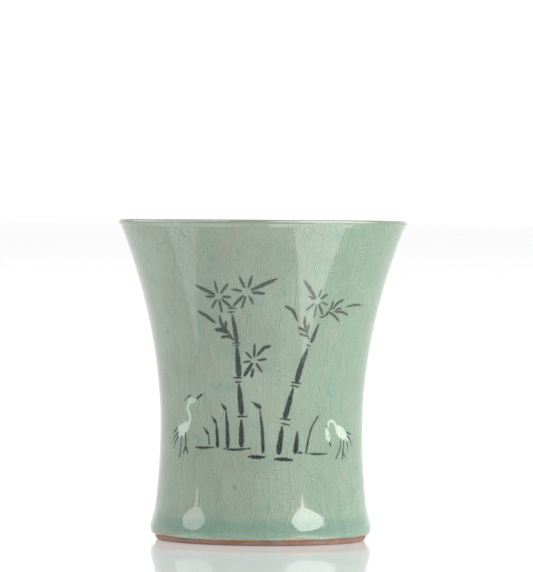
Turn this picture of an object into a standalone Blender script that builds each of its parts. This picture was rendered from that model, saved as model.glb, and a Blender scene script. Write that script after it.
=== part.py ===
"""Brush holder pot: a waisted stoneware cup under a green coat, inlaid with bamboo and two cranes.

The pot stands on its foot ring at the origin, +Z up, and the inlaid picture faces -Y.
Lengths below are in millimetres. A place on the wall is given by its arc from the front,
measured at the waist, and by its height.
"""
import math

import bmesh
import bpy
from mathutils import Vector

MM = 0.001
OBJECT_NAME = "brush_holder_pot"
STEPS_ROUND = 48
MERGE_DISTANCE = 0.00001
SMOOTH_ANGLE = math.radians(35.0)

# The glazed outside: a flare above the waist; below it a slow spread, a rolled foot and a
# round turn under the roll.
HEIGHT = 120.0
RIM_RADIUS = 54.2
WAIST_RADIUS = 37.9
WAIST_HEIGHT = 42.0
FLARE_POWER = 1.95
SPREAD_WIDTH = 2.45
SPREAD_FALL = 36.0
ROLL_WIDTH = 0.8
ROLL_TOP = 14.0
ROLL_FALL = 9.0
TURN_WIDTH = 5.0
TURN_TOP = 5.8
GLAZE_EDGE_HEIGHT = 2.6

# The lip and the well.
OUTER_LIP_RADIUS = 1.2
INNER_LIP_RADIUS = 2.2
LIP_LEAN = math.radians(22.0)
WALL_AT_RIM = 4.8
WALL_AT_WAIST = 6.0
FLOOR_HEIGHT = 12.0
FLOOR_CORNER = 8.0

# Layers: the coat lies over the clay, with a working gap between separate solids.
GAP = 0.3
GLAZE = 0.7
CLAY_INSET = GLAZE + GAP
INLAY_DEPTH = CLAY_INSET + 0.6
CUTTER_RISE = 1.0
MITRE_LIMIT = 2.5

# The clay foot ring and the glazed recess inside it.
CONTACT_RADIUS = 37.9
CLAY_TURN_WIDTH = 1.75
CLAY_TURN_HEIGHT = 2.5
RING_INNER_RADIUS = 33.0
RING_INNER_BLEND = 0.8
RECESS_HEIGHT = 4.0
RECESS_TOP_RADIUS = 32.4
BASE_GLAZE_RADIUS = 32.0
BASE_GLAZE_ROUND = 0.35

# Number of steps along each stretch of the turned profiles, on the faces that show and
# on the faces between coat and clay.
SHOWN = {"corner": 4, "well": 4, "lip": 3, "flare": 8, "foot": 3, "roll": 4, "turn": 2}
HIDDEN = {"corner": 4, "well": 3, "lip": 2, "flare": 5, "foot": 2, "roll": 3, "turn": 1}
CLAY_TURN_STEPS = 3

# Strokes of the picture.
BAR_HALF_THICKNESS = 0.4
BAR_END_THICKNESS = 0.25
TIP_HALF_WIDTH = 0.12
LEAF_SHOULDER = 0.55
HUB_RADIUS = 0.8

LOOKS = {
    "clay": ((0.29, 0.165, 0.13), 0.85),
    "glaze": ((0.33, 0.42, 0.33), 0.15),
    "black_slip": ((0.045, 0.062, 0.052), 0.3),
    "white_slip": ((0.72, 0.83, 0.74), 0.3),
}

# Upright culm pieces: name, top (arc, height), foot (arc, height), half width at top and foot.
CULMS = (
    ("left_culm_1", (-9.4, 84.6), (-8.3, 75.9), 0.4, 0.85),
    ("left_culm_2", (-8.4, 72.7), (-7.9, 63.2), 0.45, 1.1),
    ("left_culm_3", (-7.8, 59.4), (-7.1, 48.9), 0.45, 1.1),
    ("left_culm_4", (-7.0, 46.0), (-7.0, 37.2), 0.45, 1.1),
    ("right_culm_1", (19.7, 81.6), (17.9, 75.6), 0.5, 0.75),
    ("right_culm_2", (16.4, 71.9), (13.3, 61.5), 0.4, 1.15),
    ("right_culm_3", (11.7, 57.2), (9.1, 47.8), 0.45, 1.05),
    ("right_culm_4", (8.0, 43.6), (6.8, 34.6), 0.45, 1.1),
)

# Joint marks across the culms: name, middle (arc, height), half length, rise towards the right.
BARS = (
    ("left_joint_1", (-9.5, 86.7), 1.3, 0.0),
    ("left_joint_2", (-8.6, 74.3), 1.2, 0.0),
    ("left_joint_3", (-8.3, 61.2), 1.3, 0.0),
    ("left_joint_4", (-6.8, 47.5), 1.5, 0.0),
    ("right_joint_1", (16.9, 73.7), 1.2, -0.2),
    ("right_joint_2", (12.8, 59.4), 1.5, -0.25),
    ("right_joint_3", (9.0, 45.7), 1.6, -0.3),
)

# Whorls of leaves: name, middle (arc, height), half width of a leaf, tips (arc, height).
WHORLS = (
    ("whorl_far_left", (-13.6, 91.6), 0.5,
     ((-21.0, 95.6), (-14.5, 97.4), (-10.3, 96.3), (-9.8, 91.4),
      (-10.6, 88.6), (-12.9, 85.9), (-16.4, 87.3), (-17.8, 90.4))),
    ("whorl_left", (-4.6, 93.6), 0.5,
     ((-9.1, 94.4), (-6.6, 98.9), (-2.8, 99.2), (4.6, 98.3),
      (1.1, 92.9), (-2.5, 89.1), (-6.3, 87.6), (-8.7, 90.2))),
    ("whorl_middle", (-2.2, 68.3), 0.5,
     ((-2.2, 74.3), (3.3, 73.7), (2.0, 68.8), (0.3, 64.0),
      (-2.6, 61.9), (-5.6, 63.3), (-5.9, 67.5), (-5.3, 71.2))),
    ("whorl_right", (18.3, 90.2), 0.5,
     ((13.1, 97.7), (19.2, 94.6), (21.6, 92.7), (22.5, 88.8),
      (20.9, 85.4), (17.8, 83.9), (14.6, 86.7), (14.4, 91.2))),
)

# Smaller groups of leaves on a stem end: name, root (arc, height), half width, tips.
SPRIGS = (
    ("sprig_left", (-12.5, 79.6), 0.4,
     ((-13.6, 84.1), (-16.2, 80.2), (-14.2, 76.4), (-10.6, 77.3))),
    ("sprig_right", (15.3, 78.8), 0.45,
     ((14.6, 84.0), (12.2, 80.4), (12.6, 77.2), (16.0, 76.5))),
    ("sprig_far_right", (24.8, 86.4), 0.45,
     ((24.2, 90.4), (28.6, 90.8), (30.2, 88.0), (31.6, 84.4), (28.0, 82.4), (22.3, 84.3))),
)

# Single strokes as rows of (arc, height, half width).
BLACK_STROKES = (
    ("leaf_far_left", ((-21.5, 86.1, 0.0), (-18.7, 84.4, 0.55), (-15.9, 82.2, 0.0))),
    ("leaf_middle", ((7.9, 88.2, 0.0), (9.7, 87.0, 0.5), (11.1, 85.2, 0.45), (12.0, 82.9, 0.0))),
    ("leaf_far_right", ((31.8, 88.5, 0.0), (34.6, 88.7, 0.45), (37.9, 88.6, 0.0))),
    ("shoot_1", ((-22.7, 43.8, 0.0), (-21.0, 41.6, 0.7), (-20.2, 40.0, 0.4), (-19.8, 37.5, 0.3))),
    ("shoot_2_bud", ((-18.9, 47.8, 0.0), (-17.7, 46.3, 0.6), (-16.9, 45.4, 0.25))),
    ("shoot_2", ((-16.8, 44.1, 0.3), (-16.5, 40.6, 0.7), (-16.3, 37.6, 0.7), (-16.3, 36.6, 0.4))),
    ("shoot_3_bud", ((-15.1, 52.4, 0.0), (-13.9, 51.0, 0.65), (-13.1, 50.1, 0.25))),
    ("shoot_3", ((-12.9, 48.8, 0.3), (-12.4, 44.0, 0.75), (-12.2, 38.4, 0.8), (-12.2, 37.3, 0.5))),
    ("shoot_4_bud", ((-3.4, 53.1, 0.0), (-1.6, 52.0, 0.7), (-0.3, 51.2, 0.3))),
    ("shoot_4", ((0.0, 49.8, 0.3), (0.5, 45.0, 0.6), (0.9, 39.5, 0.65), (1.0, 34.9, 0.3))),
    ("shoot_5", ((13.8, 42.0, 0.3), (13.5, 38.8, 0.7), (13.2, 35.6, 0.85), (13.1, 34.6, 0.55))),
    ("stalk", ((22.3, 47.6, 0.35), (19.6, 42.9, 0.4), (18.1, 38.6, 0.42), (17.4, 35.4, 0.35))),
    ("ground_1", ((-26.1, 35.8, 0.2), (-22.2, 35.8, 0.45), (-18.4, 36.0, 0.25))),
    ("ground_2", ((-13.9, 35.7, 0.25), (-10.5, 35.1, 0.45), (-7.1, 35.4, 0.45), (-3.9, 35.8, 0.2))),
    ("ground_3", ((-4.3, 32.9, 0.35), (-1.4, 32.8, 0.75), (1.6, 32.8, 0.4))),
    ("ground_4", ((5.2, 32.1, 0.3), (8.6, 31.7, 0.8), (12.0, 31.6, 0.3))),
    ("ground_5", ((18.5, 34.0, 0.3), (22.4, 33.8, 0.4), (26.5, 33.8, 0.25))),
    ("left_crane_crest", ((-31.9, 53.2, 0.3), (-30.3, 54.8, 0.3), (-28.4, 55.5, 0.25))),
    ("left_crane_beak", ((-25.1, 53.9, 0.4), (-22.1, 55.7, 0.0))),
    ("left_crane_leg_1", ((-33.5, 38.5, 0.35), (-33.9, 34.8, 0.35), (-34.7, 32.2, 0.45))),
    ("left_crane_leg_2", ((-31.1, 39.2, 0.35), (-30.9, 35.8, 0.35), (-30.6, 33.4, 0.45))),
    ("left_crane_plume_1", ((-36.6, 42.2, 0.35), (-39.4, 40.4, 0.0))),
    ("left_crane_plume_2", ((-37.0, 39.9, 0.35), (-40.3, 36.5, 0.0))),
    ("left_crane_plume_3", ((-36.1, 38.4, 0.35), (-38.6, 34.6, 0.0))),
    ("right_crane_beak", ((27.9, 37.2, 0.4), (28.6, 35.2, 0.0))),
    ("right_crane_leg_1", ((34.1, 38.0, 0.35), (33.5, 35.4, 0.35), (31.2, 31.9, 0.4))),
    ("right_crane_leg_2", ((36.2, 37.1, 0.35), (35.5, 34.6, 0.35), (34.8, 31.6, 0.45))),
    ("right_crane_plume_1", ((38.9, 41.2, 0.35), (41.9, 40.2, 0.0))),
    ("right_crane_plume_2", ((39.3, 38.8, 0.35), (41.5, 35.8, 0.0))),
    ("right_crane_plume_3", ((37.9, 37.3, 0.35), (39.0, 33.6, 0.0))),
)

WHITE_STROKES = (
    ("left_crane", ((-26.8, 53.2, 0.5), (-28.0, 52.9, 0.95), (-29.6, 51.7, 0.6), (-30.0, 50.0, 0.5),
                    (-29.2, 47.9, 0.5), (-29.0, 45.8, 0.6), (-30.5, 44.0, 1.3),
                    (-32.8, 42.0, 1.9), (-34.8, 40.3, 0.9))),
    ("right_crane", ((27.6, 38.6, 0.4), (27.2, 40.3, 0.95), (26.7, 42.5, 0.5), (27.3, 44.7, 0.5),
                     (29.0, 45.7, 0.5), (30.8, 44.6, 0.6), (32.4, 43.0, 1.4),
                     (34.7, 41.2, 1.95), (37.2, 39.3, 0.8))),
)


def eased(share):
    """Smooth step from 0 to 1 as share goes from 0 to 1."""
    share = min(max(share, 0.0), 1.0)
    return share * share * (3.0 - 2.0 * share)


def wall_radius(height):
    """Radius of the glazed outside at a height."""
    if height >= WAIST_HEIGHT:
        share = (height - WAIST_HEIGHT) / (HEIGHT - WAIST_HEIGHT)
        return WAIST_RADIUS + (RIM_RADIUS - WAIST_RADIUS) * share ** FLARE_POWER
    spread = SPREAD_WIDTH * ((WAIST_HEIGHT - height) / SPREAD_FALL) ** 2
    roll = ROLL_WIDTH * eased((ROLL_TOP - height) / ROLL_FALL)
    drop = max(0.0, (TURN_TOP - height) / TURN_TOP)
    return WAIST_RADIUS + spread + roll - TURN_WIDTH * (1.0 - math.sqrt(1.0 - drop * drop))


def well_radius(height):
    """Radius of the glazed inside at a height above its round bottom corner."""
    share = max(0.0, (height - WAIST_HEIGHT) / (HEIGHT - WAIST_HEIGHT))
    wall = WALL_AT_WAIST + (WALL_AT_RIM - WALL_AT_WAIST) * share
    return wall_radius(max(height, WAIST_HEIGHT)) - wall


def spaced(start, end, steps):
    """Evenly spaced values from start to end, both included."""
    return [start + (end - start) * step / steps for step in range(steps + 1)]


def arc(centre, radii, start, end, steps):
    """Points on an elliptical arc, with angles in radians from the outward direction."""
    return [
        (centre[0] + radii[0] * math.cos(angle), centre[1] + radii[1] * math.sin(angle))
        for angle in spaced(start, end, steps)
    ]


def shifted(points, distance, closed):
    """The line of points moved to its right-hand side by a distance, with limited mitres."""
    moved = []
    count = len(points)
    for index, point in enumerate(points):
        before = points[index - 1] if index > 0 or closed else None
        after = points[(index + 1) % count] if index < count - 1 or closed else None
        sides = []
        if before is not None:
            sides.append((Vector(point) - Vector(before)).normalized())
        if after is not None:
            sides.append((Vector(after) - Vector(point)).normalized())
        normals = [Vector((side.y, -side.x)) for side in sides]
        mean = sum(normals, Vector((0.0, 0.0))).normalized()
        stretch = min(MITRE_LIMIT, 1.0 / max(mean.dot(normals[0]), 1.0 / MITRE_LIMIT))
        moved.append(tuple(Vector(point) + mean * distance * stretch))
    return moved


def glazed_profile(steps):
    """The line of the coat from the middle of the floor, over the lip, to the foot."""
    lip_top = HEIGHT - OUTER_LIP_RADIUS
    outer_centre = (RIM_RADIUS - OUTER_LIP_RADIUS, lip_top)
    inner_centre = (well_radius(HEIGHT) + INNER_LIP_RADIUS, HEIGHT - INNER_LIP_RADIUS)
    inner_lip = arc(inner_centre, (INNER_LIP_RADIUS, INNER_LIP_RADIUS),
                    math.pi - LIP_LEAN, math.pi / 2, steps["lip"])
    outer_lip = arc(outer_centre, (OUTER_LIP_RADIUS, OUTER_LIP_RADIUS),
                    math.pi / 2, -LIP_LEAN, steps["lip"])
    corner_centre = (well_radius(WAIST_HEIGHT) - FLOOR_CORNER, FLOOR_HEIGHT + FLOOR_CORNER)
    corner = arc(corner_centre, (FLOOR_CORNER, FLOOR_CORNER), -math.pi / 2, 0.0, steps["corner"])
    well = [(well_radius(z), z) for z in spaced(WAIST_HEIGHT, inner_lip[0][1], steps["well"])]
    flare = [(wall_radius(z), z) for z in spaced(outer_lip[-1][1], WAIST_HEIGHT, steps["flare"])]
    foot = [(wall_radius(z), z) for z in spaced(WAIST_HEIGHT, ROLL_TOP, steps["foot"])]
    roll = [(wall_radius(z), z) for z in spaced(ROLL_TOP, TURN_TOP, steps["roll"])]
    turn = [(wall_radius(z), z) for z in spaced(TURN_TOP, GLAZE_EDGE_HEIGHT, steps["turn"])]
    return ([(0.0, FLOOR_HEIGHT)] + corner + well[:-1] + inner_lip + outer_lip
            + flare[1:] + foot[1:] + roll[1:] + turn[1:])


def turned(name, look, profile):
    """A solid of revolution from a profile of (radius, height) that starts and ends on the axis."""
    mesh = bpy.data.meshes.new(name)
    edges = [(index, index + 1) for index in range(len(profile) - 1)]
    mesh.from_pydata([(radius * MM, 0.0, height * MM) for radius, height in profile], edges, [])
    item = add_object(name, look, mesh)
    screw = item.modifiers.new("turn", 'SCREW')
    screw.axis = 'Z'
    screw.steps = STEPS_ROUND
    screw.render_steps = STEPS_ROUND
    screw.use_merge_vertices = True
    screw.merge_threshold = MERGE_DISTANCE
    screw.use_smooth_shade = True
    return item


def add_object(name, look, mesh):
    """An object in the pot's collection, with its own material."""
    colour, roughness = LOOKS[look]
    material = bpy.data.materials.new(name + "_" + look)
    material.use_nodes = True
    shader = material.node_tree.nodes["Principled BSDF"]
    shader.inputs["Base Color"].default_value = (*colour, 1.0)
    shader.inputs["Roughness"].default_value = roughness
    shader.inputs["Metallic"].default_value = 0.0
    material.diffuse_color = (*colour, 1.0)
    mesh.materials.append(material)
    item = bpy.data.objects.new(name, mesh)
    bpy.data.collections[OBJECT_NAME].objects.link(item)
    return item


def ribbon(rows):
    """Outline of a brush stroke through rows of (arc, height, half width), clockwise."""
    middle = [Vector(row[:2]) for row in rows]
    left = []
    right = []
    for index, row in enumerate(rows):
        ahead = middle[min(index + 1, len(rows) - 1)]
        behind = middle[max(index - 1, 0)]
        along = (ahead - behind).normalized()
        across = Vector((along.y, -along.x)) * max(row[2], TIP_HALF_WIDTH)
        right.append(tuple(middle[index] + across))
        left.append(tuple(middle[index] - across))
    return right + left[::-1]


def star(middle, half_width, tips, spread):
    """Outline of leaves that meet at one point; spread is the room between first and last leaf."""
    hub = Vector(middle)
    leaves = sorted((Vector(tip) - hub for tip in tips), key=lambda leaf: math.atan2(leaf.y, leaf.x))
    outline = []
    for index, leaf in enumerate(leaves):
        following = leaves[(index + 1) % len(leaves)]
        sideways = Vector((-leaf.y, leaf.x)).normalized()
        across = sideways * half_width
        turn = (math.atan2(following.y, following.x) - math.atan2(leaf.y, leaf.x)) % math.tau
        outline.append(hub + leaf * LEAF_SHOULDER - across)
        outline.append(hub + leaf - sideways * TIP_HALF_WIDTH)
        outline.append(hub + leaf + sideways * TIP_HALF_WIDTH)
        outline.append(hub + leaf * LEAF_SHOULDER + across)
        for step in range(1, 1 + max(1, round(turn / spread))):
            share = step / (1 + max(1, round(turn / spread)))
            angle = math.atan2(leaf.y, leaf.x) + turn * share
            outline.append(hub + Vector((math.cos(angle), math.sin(angle))) * HUB_RADIUS)
    return [tuple(point) for point in outline]


def signed_area(outline):
    """Twice the area of an outline, positive when it runs anticlockwise."""
    following = outline[1:] + outline[:1]
    return sum(a[0] * b[1] - b[0] * a[1] for a, b in zip(outline, following))


def culm_rows(top, foot, top_half, foot_half):
    """Rows of an upright piece that swells from its top and ends in a rounded foot."""
    shares = ((0.0, top_half), (0.3, foot_half * 0.85), (0.9, foot_half), (1.0, foot_half * 0.6))
    return [
        (top[0] + (foot[0] - top[0]) * share, top[1] + (foot[1] - top[1]) * share, half)
        for share, half in shares
    ]


def bar_rows(middle, half_length, rise):
    """Rows of a short mark across a culm."""
    return [
        (middle[0] + side * half_length, middle[1] + side * rise, half)
        for side, half in ((-1, BAR_END_THICKNESS), (0, BAR_HALF_THICKNESS), (1, BAR_END_THICKNESS))
    ]


def wrap(bm, mean_height):
    """Bends a flat slab of (across, height, lift) round the wall."""
    reference = wall_radius(mean_height)
    for vertex in bm.verts:
        across, height, lift = vertex.co
        angle = across / reference
        radius = wall_radius(height) + lift
        vertex.co = Vector((radius * math.sin(angle), -radius * math.cos(angle), height)) * MM


def slab(bm, outline, bottom, top, mean_height):
    """Adds one closed slab, bent round the wall, between two lifts from the glazed surface."""
    piece = bmesh.new()
    rim = [piece.verts.new((x, z, bottom)) for x, z in outline]
    region = bmesh.ops.extrude_face_region(piece, geom=[piece.faces.new(rim)])
    for item in region["geom"]:
        if isinstance(item, bmesh.types.BMVert):
            item.co.z = top
    bmesh.ops.triangulate(piece, faces=piece.faces)
    bmesh.ops.recalc_face_normals(piece, faces=piece.faces)
    wrap(piece, mean_height)
    mesh = bpy.data.meshes.new("slab")
    piece.to_mesh(mesh)
    piece.free()
    bm.from_mesh(mesh)
    bpy.data.meshes.remove(mesh)


def true_arc(point, mean_height):
    """A point's arc at its own height instead of at the waist."""
    return (point[0] * wall_radius(mean_height) / WAIST_RADIUS, *point[1:])


def picture():
    """Every inlay as (name, look, outline, mean height), outlines anticlockwise."""
    quarter = math.radians(75.0)
    strokes = [(name, "black_slip", culm_rows(*shape)) for name, *shape in CULMS]
    strokes += [(name, "black_slip", bar_rows(*shape)) for name, *shape in BARS]
    strokes += [(name, "black_slip", rows) for name, rows in BLACK_STROKES]
    strokes += [(name, "white_slip", rows) for name, rows in WHITE_STROKES]
    inlays = []
    for name, look, rows in strokes:
        mean = sum(row[1] for row in rows) / len(rows)
        inlays.append((name, look, ribbon([true_arc(row, mean) for row in rows]), mean))
    for name, middle, half_width, tips in WHORLS + SPRIGS:
        mean = middle[1]
        outline = star(true_arc(middle, mean), half_width,
                       [true_arc(tip, mean) for tip in tips], quarter)
        inlays.append((name, "black_slip", outline, mean))
    return [
        (name, look, outline if signed_area(outline) > 0.0 else outline[::-1], mean)
        for name, look, outline, mean in inlays
    ]


def add_inlay(name, look, outline, mean):
    """One slip inlay, flush with the glazed surface."""
    bm = bmesh.new()
    slab(bm, outline, -INLAY_DEPTH, 0.0, mean)
    mesh = bpy.data.meshes.new(name)
    bm.to_mesh(mesh)
    bm.free()
    add_object(name, look, mesh)


def add_cutter(inlays):
    """One mesh of all the recesses, wider and deeper than the inlays by the working gap."""
    bm = bmesh.new()
    for _, _, outline, mean in inlays:
        slab(bm, shifted(outline, GAP, True), -INLAY_DEPTH - GAP, CUTTER_RISE, mean)
    mesh = bpy.data.meshes.new("inlay_recesses")
    bm.to_mesh(mesh)
    bm.free()
    cutter = bpy.data.objects.new("inlay_recesses", mesh)
    cutter.hide_render = True
    cutter.display_type = 'WIRE'
    bpy.data.collections[OBJECT_NAME + "_cutters"].objects.link(cutter)
    return cutter


def carve(item, cutter):
    """Cuts the recesses out of a turned piece."""
    cut = item.modifiers.new("recesses", 'BOOLEAN')
    cut.operation = 'DIFFERENCE'
    cut.solver = 'EXACT'
    cut.object = cutter


def clay_body():
    """The thrown stoneware pot with its turned foot ring."""
    outside = shifted(glazed_profile(HIDDEN), CLAY_INSET, False)
    turn_centre = (CONTACT_RADIUS, CLAY_TURN_HEIGHT)
    turn = arc(turn_centre, (CLAY_TURN_WIDTH, CLAY_TURN_HEIGHT), 0.0, -math.pi / 2, CLAY_TURN_STEPS)
    ring = [(RING_INNER_RADIUS + RING_INNER_BLEND, 0.0), (RING_INNER_RADIUS, RING_INNER_BLEND),
            (RECESS_TOP_RADIUS, RECESS_HEIGHT), (0.0, RECESS_HEIGHT)]
    return turned("clay_body", "clay", outside + turn + ring)


def glaze_coat():
    """The fired coat over the well, the lip and the outside."""
    inner_face = shifted(glazed_profile(HIDDEN), GLAZE, False)
    return turned("glaze_coat", "glaze", glazed_profile(SHOWN) + inner_face[::-1])


def glaze_base():
    """The coat on the recessed underside, inside the foot ring."""
    top = RECESS_HEIGHT - GAP
    bottom = top - GLAZE
    edge = [(BASE_GLAZE_RADIUS - BASE_GLAZE_ROUND, top), (BASE_GLAZE_RADIUS, (top + bottom) / 2),
            (BASE_GLAZE_RADIUS - BASE_GLAZE_ROUND, bottom)]
    turned("glaze_base", "glaze", [(0.0, top)] + edge + [(0.0, bottom)])


def main():
    for item in list(bpy.data.objects):
        bpy.data.objects.remove(item, do_unlink=True)
    for name in (OBJECT_NAME, OBJECT_NAME + "_cutters"):
        bpy.context.scene.collection.children.link(bpy.data.collections.new(name))
    inlays = picture()
    cutter = add_cutter(inlays)
    carve(clay_body(), cutter)
    carve(glaze_coat(), cutter)
    glaze_base()
    for inlay in inlays:
        add_inlay(*inlay)


main()
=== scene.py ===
"""Looks of the brush pot: a crackled green coat, inlaid bamboo and cranes, and a bare clay foot.

Lengths are in millimetres and shader scales are per millimetre, unless a comment says otherwise.
The inlaid picture faces -Y, and a place in it is given by its arc at the waist and its height.
"""
import math

import bpy
import numpy as np
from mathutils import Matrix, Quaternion, Vector


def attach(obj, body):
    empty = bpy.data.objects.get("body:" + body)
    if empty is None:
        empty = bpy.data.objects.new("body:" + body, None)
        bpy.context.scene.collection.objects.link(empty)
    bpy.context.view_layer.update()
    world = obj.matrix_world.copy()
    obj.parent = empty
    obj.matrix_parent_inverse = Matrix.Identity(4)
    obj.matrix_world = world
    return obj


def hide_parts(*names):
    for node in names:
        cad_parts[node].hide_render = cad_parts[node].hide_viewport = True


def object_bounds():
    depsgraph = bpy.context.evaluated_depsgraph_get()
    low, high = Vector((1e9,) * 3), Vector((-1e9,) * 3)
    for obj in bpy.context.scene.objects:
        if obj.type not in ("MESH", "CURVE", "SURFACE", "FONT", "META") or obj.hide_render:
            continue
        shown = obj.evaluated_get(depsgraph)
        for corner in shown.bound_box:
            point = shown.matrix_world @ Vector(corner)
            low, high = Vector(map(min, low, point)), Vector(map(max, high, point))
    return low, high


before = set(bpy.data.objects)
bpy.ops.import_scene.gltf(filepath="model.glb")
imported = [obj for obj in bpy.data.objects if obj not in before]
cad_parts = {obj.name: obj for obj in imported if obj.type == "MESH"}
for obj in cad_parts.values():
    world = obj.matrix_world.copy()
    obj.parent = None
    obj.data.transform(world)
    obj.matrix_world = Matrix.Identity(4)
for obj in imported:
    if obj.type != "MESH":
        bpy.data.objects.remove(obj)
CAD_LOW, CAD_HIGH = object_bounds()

MM = 0.001

# The glazed outside: a flare above the waist; below it a slow spread, a roll and a round turn.
HEIGHT = CAD_HIGH.z / MM
LIP_RADIUS = CAD_HIGH.x / MM
RIM_RADIUS = 54.2
WAIST_RADIUS = 37.9
WAIST_HEIGHT = 42.0
FLARE_POWER = 1.95
SPREAD_WIDTH = 2.65
SPREAD_FALL = 36.0
ROLL_WIDTH = 0.65
ROLL_TOP = 14.0
ROLL_FALL = 9.0
TURN_WIDTH = 5.0
TURN_TOP = 5.8

# The coat's lower edge: its height, its waves as (waves per turn, phase, share), and its tuck.
EDGE_HEIGHT = 2.35
EDGE_WAVE = 0.22
EDGE_WAVES = ((2.0, 0.3 - math.pi / 2, 1.0), (5.0, 1.0, 0.35), (17.0, 0.0, 0.2), (41.0, 0.0, 0.12))
EDGE_TUCK = 0.9
EDGE_ROUND = 0.12

# The lip, the well and its floor.
OUTER_LIP = 1.2
INNER_LIP = 2.2
LIP_LEAN = math.radians(22.0)
LIP_SEAM = 0.45
WALL_AT_RIM = 4.8
WALL_AT_WAIST = 6.0
FLOOR_HEIGHT = 12.0
FLOOR_CORNER = 8.0

# Finger waves on the outer wall: depth, then their turns, heights per radian, phases and share.
# They calm down near the rim and the foot, over (margin, fade).
THROWING = 0.05
SLOW_TURNS = 2.0
SLOW_PITCH = 31.0
SLOW_PHASE = 0.6
SLOW_SHARE = 0.6
RING_PITCH = 4.3
RING_SWAY = 0.8
RING_PHASE = 0.5
TWIST_PITCH = 17.0
CALM_AT_RIM = (3.0, 8.0)
CALM_AT_FOOT = (4.0, 6.0)

# The bare foot ring, its edges and nicks, and the coat on the recess inside it.
# Edges are steps (across, up or down); nicks fade over the lowest and the topmost clay.
CONTACT_RADIUS = 37.9
CLAY_TURN = (1.75, 2.5)
CLAY_STEP = 3.6
CLAY_TOP = 5.2
RING_INNER_RADIUS = 33.0
RING_EDGE = ((0.8, 0.0), (0.3, 0.2), (0.0, 0.7))
RECESS_EDGE = (0.2, 2.4)
RECESS_HEIGHT = 4.0
RECESS_RADIUS = 32.4
NICK_DEPTH = 0.03
NICK_TURNS = (7.0, 23.0)
NICK_PHASE = 0.4
NICK_FADE = (1.2, 2.0)
BASE_RADIUS = 32.0
BASE_LOW = 3.0
BASE_HIGH = 3.7
BASE_EDGE = ((0.15, 0.12), (0.5, 0.0))
BASE_SHOULDER = (0.4, 0.2)

# Steps round and along the turned pieces.
SEGMENTS = 288
ROW_STEP = 0.7
ARC_STEPS = {"outer_lip": 10, "inner_lip": 12, "corner": 16, "clay_turn": 12}
WELL_ROWS = 90
CONTACT_ROWS = 6

# The picture's lattice, its patches' margin and lift, and the depth far from any stroke.
CELL = 0.2
PICTURE_ARC = (-46.0, 53.0)
PICTURE_HEIGHT = (27.0, 103.0)
MARGIN = 0.45
PROUD = 0.015
CURVE_STEPS = 9
FAR_OUTSIDE = -9.0
TINY = 1e-9

# Share of a stroke's half width at places along it.
SHAPES = {
    "leaf": ((0.0, 0.65), (0.2, 0.95), (0.6, 1.0), (0.85, 0.85), (1.0, 0.4)),
    "culm": ((0.0, 0.35), (0.35, 0.85), (0.9, 1.0), (1.0, 0.8)),
    "bar": ((0.0, 0.7), (0.5, 1.0), (1.0, 0.75)),
    "bud": ((0.0, 0.12), (0.5, 0.75), (0.8, 1.0), (1.0, 0.6)),
    "lens": ((0.0, 0.4), (0.3, 0.9), (0.6, 1.0), (1.0, 0.45)),
    "line": ((0.0, 0.8), (0.5, 1.0), (1.0, 0.9)),
    "plume": ((0.0, 0.9), (0.6, 0.8), (1.0, 0.2)),
}

# Whorls: group, middle (arc, height), gap at the middle, then tips as (arc, height, half width).
WHORLS = (
    ("left_leaves", (-13.7, 91.7), 1.5,
     ((-21.0, 95.6, 0.75), (-14.5, 97.4, 0.5), (-10.3, 96.3, 0.5), (-9.7, 91.4, 0.55),
      (-9.7, 87.8, 0.6), (-12.9, 85.7, 0.55), (-16.4, 87.3, 0.5), (-18.1, 91.5, 0.55))),
    ("left_leaves", (-4.5, 93.4), 1.8,
     ((-9.1, 94.4, 0.5), (-6.6, 98.9, 0.55), (-2.8, 99.2, 0.55), (4.6, 98.3, 0.75),
      (1.1, 92.9, 0.6), (-2.5, 89.1, 0.5), (-6.3, 87.4, 0.5), (-9.1, 88.1, 0.6))),
    ("left_leaves", (-2.4, 68.2), 1.4,
     ((-2.2, 74.3, 0.5), (2.0, 68.8, 0.5), (0.3, 64.0, 0.5),
      (-6.0, 62.5, 0.75), (-6.2, 67.5, 0.45), (-5.3, 71.2, 0.5))),
    ("right_leaves", (18.3, 90.2), 1.5,
     ((13.1, 97.7, 0.75), (19.2, 94.6, 0.45), (21.6, 92.7, 0.5), (15.1, 92.0, 0.5),
      (14.6, 86.7, 0.45), (17.8, 83.9, 0.45), (20.9, 85.2, 0.5), (22.5, 88.8, 0.35))),
)

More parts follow.
